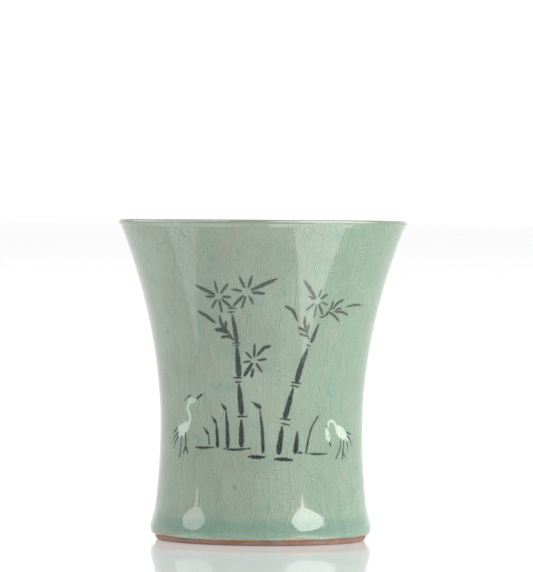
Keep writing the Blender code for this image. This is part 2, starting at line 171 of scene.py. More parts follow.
# Other strokes: group, ink, shape, half width, points (arc, height).
STROKES = (
    ("left_leaves", "black", "leaf", 0.55, ((-2.7, 65.0), (-3.4, 62.1))),
    ("left_leaves", "black", "leaf", 0.65, ((-1.2, 70.2), (1.0, 72.8), (3.3, 73.7))),
    ("left_leaves", "black", "leaf", 0.7, ((-15.8, 82.1), (-18.7, 84.4), (-21.5, 86.1))),
    ("left_leaves", "black", "line", 0.5, ((-9.8, 75.9), (-11.0, 78.2), (-12.3, 80.2))),
    ("left_leaves", "black", "leaf", 0.65, ((-12.4, 79.2), (-13.5, 82.0), (-13.8, 84.5))),
    ("left_leaves", "black", "leaf", 0.6, ((-12.4, 79.0), (-11.7, 82.6))),
    ("left_leaves", "black", "leaf", 0.9, ((-11.6, 78.6), (-13.2, 79.3), (-15.7, 79.4))),
    ("left_leaves", "black", "leaf", 0.6, ((-10.3, 76.6), (-12.2, 77.0), (-13.8, 76.5))),
    ("right_leaves", "black", "leaf", 0.6, ((7.9, 88.2), (10.3, 86.5), (12.0, 82.9))),
    ("right_leaves", "black", "line", 0.42, ((16.5, 76.3), (15.4, 79.6))),
    ("right_leaves", "black", "leaf", 0.6, ((15.4, 79.0), (14.7, 81.8), (14.6, 84.5))),
    ("right_leaves", "black", "leaf", 0.55, ((15.7, 78.4), (16.3, 81.8))),
    ("right_leaves", "black", "leaf", 0.6, ((15.6, 78.8), (12.6, 80.5))),
    ("right_leaves", "black", "leaf", 0.5, ((16.0, 77.2), (13.3, 78.2))),
    ("right_leaves", "black", "leaf", 0.45, ((21.8, 84.7), (23.3, 86.4))),
    ("right_leaves", "black", "leaf", 0.5, ((23.3, 86.6), (24.0, 88.4), (24.2, 90.2))),
    ("right_leaves", "black", "leaf", 0.55, ((24.7, 87.5), (26.2, 89.5), (28.6, 90.8))),
    ("right_leaves", "black", "leaf", 0.45, ((25.4, 86.2), (26.7, 87.3), (28.2, 87.5))),
    ("right_leaves", "black", "leaf", 0.5, ((26.2, 86.1), (28.7, 86.1), (31.8, 84.9))),
    ("right_leaves", "black", "leaf", 0.5, ((22.9, 86.2), (25.4, 84.9), (28.0, 82.8))),
    ("right_leaves", "black", "leaf", 0.45, ((30.7, 88.1), (33.8, 88.7), (37.9, 88.6))),
    ("left_bamboo", "black", "culm", 0.9, ((-9.5, 85.0), (-8.3, 75.2))),
    ("left_bamboo", "black", "culm", 1.12, ((-8.4, 73.2), (-7.9, 63.0))),
    ("left_bamboo", "black", "culm", 1.12, ((-7.9, 59.2), (-7.1, 48.9))),
    ("left_bamboo", "black", "culm", 1.02, ((-7.1, 46.2), (-7.0, 37.1))),
    ("left_bamboo", "black", "bar", 0.36, ((-10.6, 87.4), (-8.1, 87.4))),
    ("left_bamboo", "black", "bar", 0.36, ((-10.9, 85.9), (-8.7, 86.1))),
    ("left_bamboo", "black", "bar", 0.36, ((-9.7, 74.6), (-7.4, 74.6))),
    ("left_bamboo", "black", "bar", 0.32, ((-9.5, 73.6), (-7.6, 73.8))),
    ("left_bamboo", "black", "bar", 0.4, ((-9.7, 61.8), (-7.1, 61.8))),
    ("left_bamboo", "black", "bar", 0.36, ((-9.2, 60.2), (-7.2, 60.3))),
    ("left_bamboo", "black", "bar", 0.4, ((-8.5, 47.5), (-5.2, 47.5))),
    ("right_bamboo", "black", "line", 0.32, ((20.0, 84.2), (21.4, 84.5))),
    ("right_bamboo", "black", "culm", 0.75, ((19.8, 81.7), (17.8, 75.3))),
    ("right_bamboo", "black", "bar", 0.36, ((16.1, 74.1), (17.3, 73.6))),
    ("right_bamboo", "black", "culm", 1.12, ((16.5, 72.5), (14.9, 68.0), (13.2, 61.0))),
    ("right_bamboo", "black", "bar", 0.4, ((11.3, 60.3), (14.6, 59.8))),
    ("right_bamboo", "black", "bar", 0.36, ((11.0, 59.1), (13.8, 58.6))),
    ("right_bamboo", "black", "culm", 1.1, ((11.8, 57.9), (9.0, 47.2))),
    ("right_bamboo", "black", "bar", 0.4, ((7.2, 46.8), (10.8, 46.5))),
    ("right_bamboo", "black", "bar", 0.36, ((7.6, 45.2), (10.7, 44.5))),
    ("right_bamboo", "black", "culm", 1.1, ((8.0, 43.9), (6.8, 34.5))),
    ("shoots", "black", "bud", 0.6, ((-22.7, 43.6), (-20.1, 40.7))),
    ("shoots", "black", "line", 0.34, ((-20.1, 40.1), (-19.8, 38.6), (-19.7, 37.1))),
    ("shoots", "black", "bud", 0.62, ((-18.8, 47.6), (-17.0, 45.0))),
    ("shoots", "black", "culm", 0.74, ((-16.9, 44.5), (-16.5, 40.4), (-16.3, 36.4))),
    ("shoots", "black", "bud", 0.7, ((-15.0, 52.3), (-13.0, 50.0))),
    ("shoots", "black", "culm", 0.76, ((-13.0, 49.3), (-12.4, 42.6), (-12.2, 36.4))),
    ("shoots", "black", "bud", 0.85, ((-3.3, 53.1), (-0.1, 50.9))),
    ("shoots", "black", "culm", 0.64, ((-0.3, 50.1), (0.6, 42.7), (1.0, 34.7))),
    ("shoots", "black", "culm", 1.0, ((13.8, 41.9), (13.5, 38.0), (13.1, 34.6))),
    ("shoots", "black", "line", 0.38, ((22.2, 47.6), (19.2, 42.4), (17.3, 34.2))),
    ("ground", "black", "lens", 0.5, ((-26.1, 35.8), (-22.0, 35.7), (-17.7, 36.0))),
    ("ground", "black", "lens", 0.5, ((-13.9, 35.6), (-9.8, 35.3), (-7.1, 35.5), (-3.8, 35.9))),
    ("ground", "black", "lens", 0.75, ((-4.3, 32.9), (-1.4, 32.7), (1.6, 32.7))),
    ("ground", "black", "lens", 0.75, ((5.2, 32.0), (8.6, 31.9), (12.0, 31.6))),
    ("ground", "black", "bar", 0.4, ((14.0, 34.4), (15.7, 34.2))),
    ("ground", "black", "lens", 0.42, ((18.0, 34.0), (22.0, 33.7), (26.5, 33.7))),
    ("left_crane", "white", "lens", 1.1, ((-29.2, 52.7), (-27.9, 52.9), (-26.2, 53.2))),
    ("left_crane", "white", "line", 0.6, ((-29.0, 52.1), (-30.1, 50.2), (-29.1, 47.9),
                                          (-28.8, 45.8), (-29.8, 43.9))),
    ("left_crane", "white", "lens", 2.1, ((-29.8, 44.4), (-32.4, 42.2), (-35.0, 39.9))),
    ("left_crane", "white", "plume", 0.8, ((-33.8, 43.4), (-36.4, 41.6))),
    ("left_crane", "black", "line", 0.28, ((-31.5, 52.8), (-29.7, 54.2), (-27.9, 54.9))),
    ("left_crane", "black", "plume", 0.48, ((-25.0, 53.9), (-22.1, 55.7))),
    ("left_crane", "black", "line", 0.2, ((-27.7, 53.1), (-27.4, 53.1))),
    ("left_crane", "black", "plume", 0.38, ((-36.2, 42.4), (-39.2, 40.4))),
    ("left_crane", "black", "plume", 0.4, ((-35.7, 40.8), (-38.2, 39.0), (-40.1, 36.4))),
    ("left_crane", "black", "plume", 0.38, ((-35.3, 39.7), (-37.2, 37.6), (-38.6, 34.8))),
    ("left_crane", "black", "line", 0.3, ((-33.6, 39.7), (-33.9, 34.1), (-34.7, 31.9))),
    ("left_crane", "black", "line", 0.4, ((-31.2, 41.0), (-31.0, 35.4))),
    ("left_crane", "black", "plume", 0.5, ((-31.1, 35.8), (-32.4, 33.2))),
    ("left_crane", "black", "plume", 0.5, ((-30.9, 35.8), (-29.5, 33.2))),
    ("right_crane", "white", "line", 0.5, ((27.0, 43.4), (27.5, 45.3), (29.1, 45.8),
                                           (30.9, 44.3), (31.9, 42.8))),
    ("right_crane", "white", "lens", 2.05, ((31.6, 43.4), (34.4, 41.2), (37.8, 38.7))),
    ("right_crane", "white", "lens", 1.05, ((26.4, 42.8), (27.0, 40.4), (27.7, 38.2))),
    ("right_crane", "white", "line", 0.36, ((26.6, 43.6), (26.5, 42.4))),
    ("right_crane", "black", "lens", 0.26, ((27.1, 40.4), (27.3, 39.8))),
    ("right_crane", "black", "line", 0.28, ((26.4, 44.0), (26.6, 43.6))),
    ("right_crane", "black", "bar", 0.4, ((27.8, 38.2), (28.4, 36.5))),
    ("right_crane", "black", "plume", 0.4, ((38.1, 41.3), (41.2, 40.3))),
    ("right_crane", "black", "plume", 0.38, ((38.2, 39.9), (40.4, 38.2), (41.4, 35.9))),
    ("right_crane", "black", "plume", 0.34, ((37.2, 38.8), (38.4, 36.4), (38.8, 33.9))),
    ("right_crane", "black", "line", 0.3, ((34.1, 39.0), (33.5, 35.5), (31.0, 31.7))),
    ("right_crane", "black", "line", 0.34, ((36.0, 38.6), (35.4, 35.0), (34.7, 31.6))),
    ("right_crane", "black", "plume", 0.3, ((35.3, 33.6), (36.9, 32.2))),
)

# CAD nodes that each group of strokes stands for, by the start of the node's name.
STANDS_FOR = {
    "left_leaves": ("whorl_far_left", "whorl_left", "whorl_middle", "sprig_left", "leaf_far_left"),
    "right_leaves": ("whorl_right", "sprig_right", "sprig_far_right", "leaf_middle", "leaf_far_right"),
    "left_bamboo": ("left_culm", "left_joint"),
    "right_bamboo": ("right_culm", "right_joint"),
    "shoots": ("shoot_", "stalk"),
    "ground": ("ground_",),
    "left_crane": ("left_crane",),
    "right_crane": ("right_crane",),
}


def smooth_step(share):
    """Zero to one with soft ends."""
    return share * share * (3.0 - 2.0 * share)


def wall_radius(height):
    """Radius of the glazed outside at each height."""
    height = np.asarray(height, float)
    up = np.clip((height - WAIST_HEIGHT) / (HEIGHT - WAIST_HEIGHT), 0.0, None)
    down = np.clip((WAIST_HEIGHT - height) / SPREAD_FALL, 0.0, None)
    roll = np.clip((ROLL_TOP - height) / ROLL_FALL, 0.0, 1.0)
    drop = np.clip((TURN_TOP - height) / TURN_TOP, 0.0, 1.0)
    radius = WAIST_RADIUS + (RIM_RADIUS - WAIST_RADIUS) * up ** FLARE_POWER
    radius = radius + SPREAD_WIDTH * down ** 2 + ROLL_WIDTH * smooth_step(roll)
    return radius - TURN_WIDTH * (1.0 - np.sqrt(1.0 - drop * drop))


def unevenness(angle, height):
    """Slight inward waves left by the potter's fingers."""
    slow = np.sin(SLOW_TURNS * angle + height / SLOW_PITCH + SLOW_PHASE)
    rings = np.sin(height / RING_PITCH + RING_SWAY * np.sin(angle + RING_PHASE))
    rings = rings * np.sin(angle + height / TWIST_PITCH)
    return THROWING * (SLOW_SHARE * slow + (1.0 - SLOW_SHARE) * rings - 1.0)


def on_wall(arc, height, lift):
    """Places just off the outer wall, in metres, from arc at the waist and height."""
    angle = arc / WAIST_RADIUS
    radius = wall_radius(height) + unevenness(angle, height) + lift
    return np.stack((radius * np.sin(angle), -radius * np.cos(angle), height), -1) * MM


def arc_points(centre, radius, start, end, steps):
    """Points of (radius, height) on a circular arc."""
    angles = np.linspace(start, end, steps)
    return [(centre[0] + radius * math.cos(a), centre[1] + radius * math.sin(a)) for a in angles]


def new_object(name, vertices, faces, material, replaced):
    """A smooth mesh piece that rides on the pot's one body and stands for CAD nodes."""
    mesh = bpy.data.meshes.new(name)
    mesh.from_pydata([tuple(v) for v in vertices], [], faces)
    mesh.shade_smooth()
    mesh.materials.append(material)
    item = bpy.data.objects.new(name, mesh)
    bpy.context.scene.collection.objects.link(item)
    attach(item, "root")
    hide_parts(*replaced)
    return item


def turn(profile, shape=None):
    """Vertices and faces of a turned surface; shape may move a ring's points."""
    angles = np.arange(SEGMENTS) * math.tau / SEGMENTS
    vertices = []
    rings = []
    for radius, height in profile:
        if radius == 0.0:
            rings.append([len(vertices)])
            vertices.append((0.0, 0.0, height * MM))
            continue
        rings.append(list(range(len(vertices), len(vertices) + SEGMENTS)))
        radii = np.full(SEGMENTS, radius)
        heights = np.full(SEGMENTS, height)
        if shape:
            radii, heights = shape(angles, radii, heights)
        vertices.extend(zip(radii * np.sin(angles) * MM, -radii * np.cos(angles) * MM, heights * MM))
    faces = []
    for upper, lower in zip(rings, rings[1:]):
        for index in range(SEGMENTS):
            after = (index + 1) % SEGMENTS
            corners = [upper[index % len(upper)], lower[index % len(lower)],
                       lower[after % len(lower)], upper[after % len(upper)]]
            faces.append(list(dict.fromkeys(corners)))
    return vertices, faces


def edge_height(angle):
    """Height of the coat's wavy lower edge."""
    wave = sum(share * np.sin(turns * angle + phase) for turns, phase, share in EDGE_WAVES)
    return EDGE_HEIGHT + EDGE_WAVE * wave


def well_radius(height):
    """Radius of the well above its round bottom corner."""
    share = max(0.0, (height - WAIST_HEIGHT) / (HEIGHT - WAIST_HEIGHT))
    wall = WALL_AT_WAIST + (WALL_AT_RIM - WALL_AT_WAIST) * share
    return float(wall_radius(max(height, WAIST_HEIGHT))) - wall


def lip_top(shares):
    """Points across the flat top of the lip, from its inner round towards its outer one."""
    inner_end = well_radius(HEIGHT) + INNER_LIP
    outer_end = LIP_RADIUS - OUTER_LIP
    return [(inner_end + (outer_end - inner_end) * share, HEIGHT) for share in shares]


def outside_coat(material):
    """The coat from the top of the lip down the outside, tucked under at its lower edge."""
    centre = (LIP_RADIUS - OUTER_LIP, HEIGHT - OUTER_LIP)
    lip = lip_top((LIP_SEAM, 0.75))
    lip += arc_points(centre, OUTER_LIP, math.pi / 2, -LIP_LEAN, ARC_STEPS["outer_lip"])
    start = lip[-1][1]
    heights = np.linspace(start, EDGE_HEIGHT, int((start - EDGE_HEIGHT) / ROW_STEP))
    wall = [(float(wall_radius(z)), float(z)) for z in heights[1:]]
    under = EDGE_HEIGHT - EDGE_ROUND
    edge = wall[-1][0]
    tuck = [(edge - EDGE_TUCK / 4, EDGE_HEIGHT), (edge - EDGE_TUCK * 0.6, under), (edge - EDGE_TUCK, under)]

    def shape(angles, radii, heights):
        low = np.clip((ROLL_TOP - heights) / (ROLL_TOP - EDGE_HEIGHT), 0.0, 1.0)
        moved = heights + low * low * (edge_height(angles) - EDGE_HEIGHT)
        waves = np.clip((HEIGHT - CALM_AT_RIM[0] - heights) / CALM_AT_RIM[1], 0.0, 1.0)
        waves = waves * np.clip((heights - CALM_AT_FOOT[0]) / CALM_AT_FOOT[1], 0.0, 1.0)
        return radii + waves * unevenness(angles, heights), moved

    vertices, faces = turn(lip + wall + tuck, shape)
    return new_object("coat_outside", vertices, faces, material, ["glaze_coat"])


def well_coat(material):
    """The coat inside the pot, from the middle of the floor to the top of the lip."""
    centre = (well_radius(HEIGHT) + INNER_LIP, HEIGHT - INNER_LIP)
    corner = (well_radius(WAIST_HEIGHT) - FLOOR_CORNER, FLOOR_HEIGHT + FLOOR_CORNER)
    lip = arc_points(centre, INNER_LIP, math.pi - LIP_LEAN, math.pi / 2, ARC_STEPS["inner_lip"])
    floor = [(corner[0] * share, FLOOR_HEIGHT) for share in (0.0, 0.15, 0.4, 0.7)]
    floor += arc_points(corner, FLOOR_CORNER, -math.pi / 2, 0.0, ARC_STEPS["corner"])
    wall = [(well_radius(z), float(z)) for z in np.linspace(corner[1], lip[0][1], WELL_ROWS)[1:-1]]
    vertices, faces = turn(floor + wall + lip + lip_top((0.25, LIP_SEAM)))
    return new_object("coat_well", vertices, faces, material, [])


def base_coat(material):
    """The coat on the recessed underside."""
    edge = [(BASE_RADIUS - BASE_SHOULDER[0], BASE_HIGH), (BASE_RADIUS, BASE_HIGH - BASE_SHOULDER[1]),
            (BASE_RADIUS, (BASE_LOW + BASE_HIGH) / 2)]
    edge += [(BASE_RADIUS - inward, BASE_LOW + up) for inward, up in BASE_EDGE]
    under = [(BASE_RADIUS * share, BASE_LOW) for share in (0.9, 0.7, 0.4, 0.15, 0.0)]
    vertices, faces = turn([(0.0, BASE_HIGH)] + edge + under)
    return new_object("coat_underside", vertices, faces, material, ["glaze_base"])


def clay_foot(material):
    """The bare foot ring and the clay above it, as one closed turned piece."""
    top_radius = CONTACT_RADIUS + CLAY_TURN[0]
    outside = [(top_radius, CLAY_TOP), (top_radius, CLAY_STEP)]
    quarter = np.linspace(0.0, math.pi / 2, ARC_STEPS["clay_turn"])
    outside += [(CONTACT_RADIUS + CLAY_TURN[0] * math.cos(a), CLAY_TURN[1] * (1.0 - math.sin(a)))
                for a in quarter]
    ring = [(RING_INNER_RADIUS + outward, up) for outward, up in RING_EDGE]
    contact = [(r, 0.0) for r in np.linspace(CONTACT_RADIUS, ring[0][0], CONTACT_ROWS)[1:]]
    recess = [(RECESS_RADIUS + RECESS_EDGE[0], RECESS_EDGE[1]), (RECESS_RADIUS, RECESS_HEIGHT)]
    profile = [(0.0, CLAY_TOP)] + outside + contact + ring[1:] + recess + [(0.0, RECESS_HEIGHT)]

    def shape(angles, radii, heights):
        depth = np.clip(heights / NICK_FADE[0], 0.0, 1.0)
        depth = depth * np.clip((CLAY_TOP - heights) / NICK_FADE[1], 0.0, 1.0)
        nicks = np.sin(NICK_TURNS[0] * angles + NICK_PHASE) + np.sin(NICK_TURNS[1] * angles + heights)
        return radii + NICK_DEPTH * depth * (nicks - 2.0), heights

    vertices, faces = turn(profile, shape)
    return new_object("clay_foot", vertices, faces, material, ["clay_body"])


def curve_through(points):
    """Evenly timed places on a smooth curve through the points."""
    points = np.array(points, float)
    if len(points) == 2:
        return points[0] + (points[1] - points[0]) * np.linspace(0.0, 1.0, CURVE_STEPS)[:, None]
    padded = np.vstack((2 * points[0] - points[1], points, 2 * points[-1] - points[-2]))
    places = []
    for t in np.linspace(0.0, len(points) - 1, CURVE_STEPS * (len(points) - 1)):
        index = min(int(t), len(points) - 2)
        u = t - index
        a, b, c, d = padded[index:index + 4]
        places.append(0.5 * (2 * b + (c - a) * u + (2 * a - 5 * b + 4 * c - d) * u ** 2
                             + (3 * b - a - 3 * c + d) * u ** 3))
    return np.array(places)


def all_strokes():
    """Every stroke as (group, ink, shape, half width, points)."""
    strokes = list(STROKES)
    for group, middle, gap, tips in WHORLS:
        for arc, height, half_width in tips:
            middle_vector = Vector(middle)
            along = Vector((arc, height)) - middle_vector
            start = middle_vector + along.normalized() * gap
            strokes.append((group, "black", "leaf", half_width, (tuple(start), (arc, height))))
    return strokes


def draw(fields, owner, nearest, arcs, heights, number, stroke):
    """Adds one stroke to the picture's fields, which hold the depth inside a stroke's edge."""
    _, ink, shape, half_width, points = stroke
    mean_height = float(np.mean([point[1] for point in points]))
    widen = float(wall_radius(mean_height)) / WAIST_RADIUS
    line = curve_through(points)
    share = np.linspace(0.0, 1.0, len(line))
    known = np.array(SHAPES[shape])
    half = np.interp(share, known[:, 0], known[:, 1]) * half_width
    reach = half_width + 2.0 * MARGIN
    columns = np.where((arcs > line[:, 0].min() - reach) & (arcs < line[:, 0].max() + reach))[0]
    rows = np.where((heights > line[:, 1].min() - reach) & (heights < line[:, 1].max() + reach))[0]
    window = np.ix_(rows, columns)
    across, up = np.meshgrid(arcs[columns] * widen, heights[rows])
    depth = np.full(across.shape, FAR_OUTSIDE)
    for a, b, half_a, half_b in zip(line, line[1:], half, half[1:]):
        ax, az = a[0] * widen, a[1]
        bx, bz = b[0] * widen, b[1]
        length = max((bx - ax) ** 2 + (bz - az) ** 2, TINY)
        t = np.clip(((across - ax) * (bx - ax) + (up - az) * (bz - az)) / length, 0.0, 1.0)
        distance = np.hypot(across - ax - t * (bx - ax), up - az - t * (bz - az))
        depth = np.maximum(depth, half_a + (half_b - half_a) * t - distance)
    fields[ink][window] = np.maximum(fields[ink][window], depth)
    closer = depth > nearest[window]
    owner[window] = np.where(closer, number, owner[window])
    nearest[window] = np.maximum(nearest[window], depth)


def store(item, name, values):
    """Keeps one number for each point of a piece, for its material to read."""
    attribute = item.data.attributes.new(name, 'FLOAT', 'POINT')
    attribute.data.foreach_set("value", values.astype(np.float32))


def picture(material):
    """The inlays, as thin patches that follow the wall, one piece for each group of strokes."""
    arcs = np.arange(*PICTURE_ARC, CELL)
    heights = np.arange(*PICTURE_HEIGHT, CELL)
    size = (len(heights), len(arcs))
    fields = {ink: np.full(size, FAR_OUTSIDE) for ink in ("black", "white")}
    nearest = np.full(size, FAR_OUTSIDE)
    owner = np.full(size, -1)
    groups = list(STANDS_FOR)
    for stroke in all_strokes():
        draw(fields, owner, nearest, arcs, heights, groups.index(stroke[0]), stroke)
    wanted = np.maximum.reduce((nearest[:-1, :-1], nearest[1:, :-1],
                                nearest[:-1, 1:], nearest[1:, 1:])) > -MARGIN
    corners = ((0, 0), (0, 1), (1, 1), (1, 0))
    for number, group in enumerate(groups):
        cells = np.argwhere(wanted & (owner[:-1, :-1] == number))
        quads = np.stack([(cells[:, 0] + i) * len(arcs) + cells[:, 1] + j for i, j in corners], 1)
        used, faces = np.unique(quads, return_inverse=True)
        row, column = np.divmod(used, len(arcs))
        places = on_wall(arcs[column], heights[row], PROUD)
        nodes = [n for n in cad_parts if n.startswith(STANDS_FOR[group])]
        item = new_object("inlay_" + group, places, faces.reshape(quads.shape).tolist(),
                          material, nodes)
        for ink, field in fields.items():
            store(item, ink + "_depth", field[row, column])


def add_rise(item):
    """Stores each point's height above the coat's wavy lower edge."""
    places = np.zeros(len(item.data.vertices) * 3, np.float32)
    item.data.vertices.foreach_get("co", places)
    places = places.reshape(-1, 3) / MM
    angles = np.arctan2(places[:, 0], -places[:, 1])
    store(item, "rise", places[:, 2] - edge_height(angles))


class Tree:
    """Short names for adding shader nodes to one node tree."""

    def __init__(self, tree):
        self.tree = tree

    def add(self, kind, inputs=None, **settings):
        """A new node; each input is a socket to link or a value to set."""
        made = self.tree.nodes.new(kind)
        for name, value in settings.items():
            setattr(made, name, value)
        for name, value in (inputs or {}).items():
            if isinstance(value, bpy.types.NodeSocket):
                self.tree.links.new(value, made.inputs[name])
            else:
                made.inputs[name].default_value = value
        return made

    def math(self, operation, first, second=0.0):
        return self.add("ShaderNodeMath", {0: first, 1: second}, operation=operation).outputs[0]

    def vector(self, operation, first, second=(0.0, 0.0, 0.0), out="Vector"):
        return self.add("ShaderNodeVectorMath", {0: first, 1: second}, operation=operation).outputs[out]

    def ramp(self, value, low, high, first=0.0, last=1.0):
        """Value mapped smoothly from low..high to first..last."""
        return self.add("ShaderNodeMapRange", {"Value": value, "From Min": low, "From Max": high,
                                               "To Min": first, "To Max": last},
                        interpolation_type='SMOOTHSTEP').outputs["Result"]

    def mix(self, factor, first, second, blend='MIX'):
        """Two colours mixed by a factor."""
        return self.add("ShaderNodeMix", {0: factor, 6: first, 7: second},
                        data_type='RGBA', blend_type=blend).outputs[2]

    def noise(self, place, scale, detail=2.0, roughness=0.5):
        return self.add("ShaderNodeTexNoise", {"Vector": place, "Scale": scale, "Detail": detail,
                                               "Roughness": roughness}).outputs["Fac"]

    def gain(self, value, middle, factor):
        """A value's distance from a middle, times a factor."""
        return self.math('MULTIPLY', self.math('SUBTRACT', value, middle), factor)

    def place(self):
        """The place on the object in millimetres."""
        metres = self.add("ShaderNodeTexCoord").outputs["Object"]
        return self.vector('MULTIPLY', metres, (1.0 / MM, 1.0 / MM, 1.0 / MM))

    def axes(self, place):
        """The X, Y and Z of a place."""
        return self.add("ShaderNodeSeparateXYZ", {"Vector": place}).outputs

    def stored(self, name):
        """A number stored at the points of the piece."""
        return self.add("ShaderNodeAttribute", attribute_name=name).outputs["Fac"]


def colour(red, green, blue):
    """A colour given as seen on a screen, 0 to 255, as linear light."""
    channels = [value / 255 for value in (red, green, blue)]
    return tuple(c / 12.92 if c <= 0.04045 else ((c + 0.055) / 1.055) ** 2.4 for c in channels) + (1.0,)


GLAZE_MAIN = colour(149, 165, 148)
GLAZE_PALE = colour(157, 173, 156)
GLAZE_GREEN = colour(142, 166, 143)
GLAZE_WARM = colour(163, 166, 148)
GLAZE_TEAL = colour(130, 163, 147)
GLAZE_POOL = colour(127, 158, 141)
OCHRE = colour(163, 129, 76)
BLACK_INK = colour(22, 34, 32)
BLACK_SPECKLE = colour(80, 94, 89)
WHITE_INK = colour(202, 220, 204)
CLAY_MAIN = colour(158, 123, 112)
CLAY_DARK = colour(113, 82, 71)
CLAY_PALE = colour(177, 151, 138)
WHITE = (1.0, 1.0, 1.0, 1.0)
TABLE_GREY = (0.3, 0.3, 0.3, 1.0)

# Crack nets: cells per millimetre across and up the wall, and about half a crack's width.
LONG_CRACKS = (0.16, 0.06, 0.15)
FINE_CRACKS = (0.27, 0.24, 0.11)
CRACK_RANDOMNESS = 0.8
SHADED_SIDE = (0.9, -0.2, 0.4)
CRACK_BEND = (7.0, 7.0, 7.0)

# Streaks down the wall, per millimetre, and where in the noise the teal clouds are taken from.
STREAK_CELLS = (0.9, 0.9, 0.07)
TEAL_OFFSET = (40.0, 10.0, 70.0)

# Surface of the coat, with bump distances in metres, and how much its parts lighten or darken it.
COAT_IOR = 1.6
COAT_RELIEF = 0.00006
COAT_BUMP = 0.35
STREAK_TONE = 0.26
GRAIN_TONE = 0.3
CELL_TONE = 0.04
FINE_CELL_TONE = 0.03
LIT_TONE = 0.5
SHADED_TONE = -0.6
CLAY_RELIEF = 0.00025
CLAY_BUMP = 0.6

# Half the width of the inks' soft edges, and how far grain wears them back.
WHITE_EDGE = (0.45, 0.7)
BLACK_EDGE = (0.26, 0.95)
INK_COVER = 0.99


def new_material(name):
    material = bpy.data.materials.new(name)
    material.use_nodes = True
    material.node_tree.nodes.clear()
    return material, Tree(material.node_tree)


def cracks(tree, place, outward, across, up, width):
    """A crack net with upright cells: (lit side 0..1, shaded side 0..1, each cell's tint)."""
    scale = (across, across, up)
    scaled = tree.vector('MULTIPLY', place, scale)
    inputs = {"Vector": scaled, "Scale": 1.0, "Randomness": CRACK_RANDOMNESS}
    first = tree.add("ShaderNodeTexVoronoi", inputs, feature='F1')
    second = tree.add("ShaderNodeTexVoronoi", inputs, feature='F2')
    between = tree.vector('SUBTRACT', second.outputs["Position"], first.outputs["Position"])
    normal = tree.vector('NORMALIZE', between)
    total = tree.vector('ADD', second.outputs["Position"], first.outputs["Position"])
    middle = tree.vector('MULTIPLY', total, (0.5, 0.5, 0.5))
    gap = tree.vector('DOT_PRODUCT', tree.vector('SUBTRACT', middle, scaled), normal, "Value")
    steepest = tree.vector('MULTIPLY', normal, scale)
    through = tree.vector('DOT_PRODUCT', steepest, outward, "Value")
    along = tree.vector('SUBTRACT', steepest, tree.vector('MULTIPLY', outward, through))
    distance = tree.math('DIVIDE', gap, tree.vector('LENGTH', along, out="Value"))
    facing = tree.vector('DOT_PRODUCT', normal, SHADED_SIDE, "Value")
    side = tree.ramp(facing, low=-0.3, high=0.5)
    line = tree.ramp(distance, low=0.5 * width, high=1.9 * width, first=1.0, last=0.0)
    shaded = tree.math('MULTIPLY', line, side)
    lit = tree.math('MULTIPLY', line, tree.math('SUBTRACT', 1.0, side))
    tint = tree.add("ShaderNodeSeparateColor", {"Color": first.outputs["Color"]}).outputs["Red"]
    return lit, shaded, tint


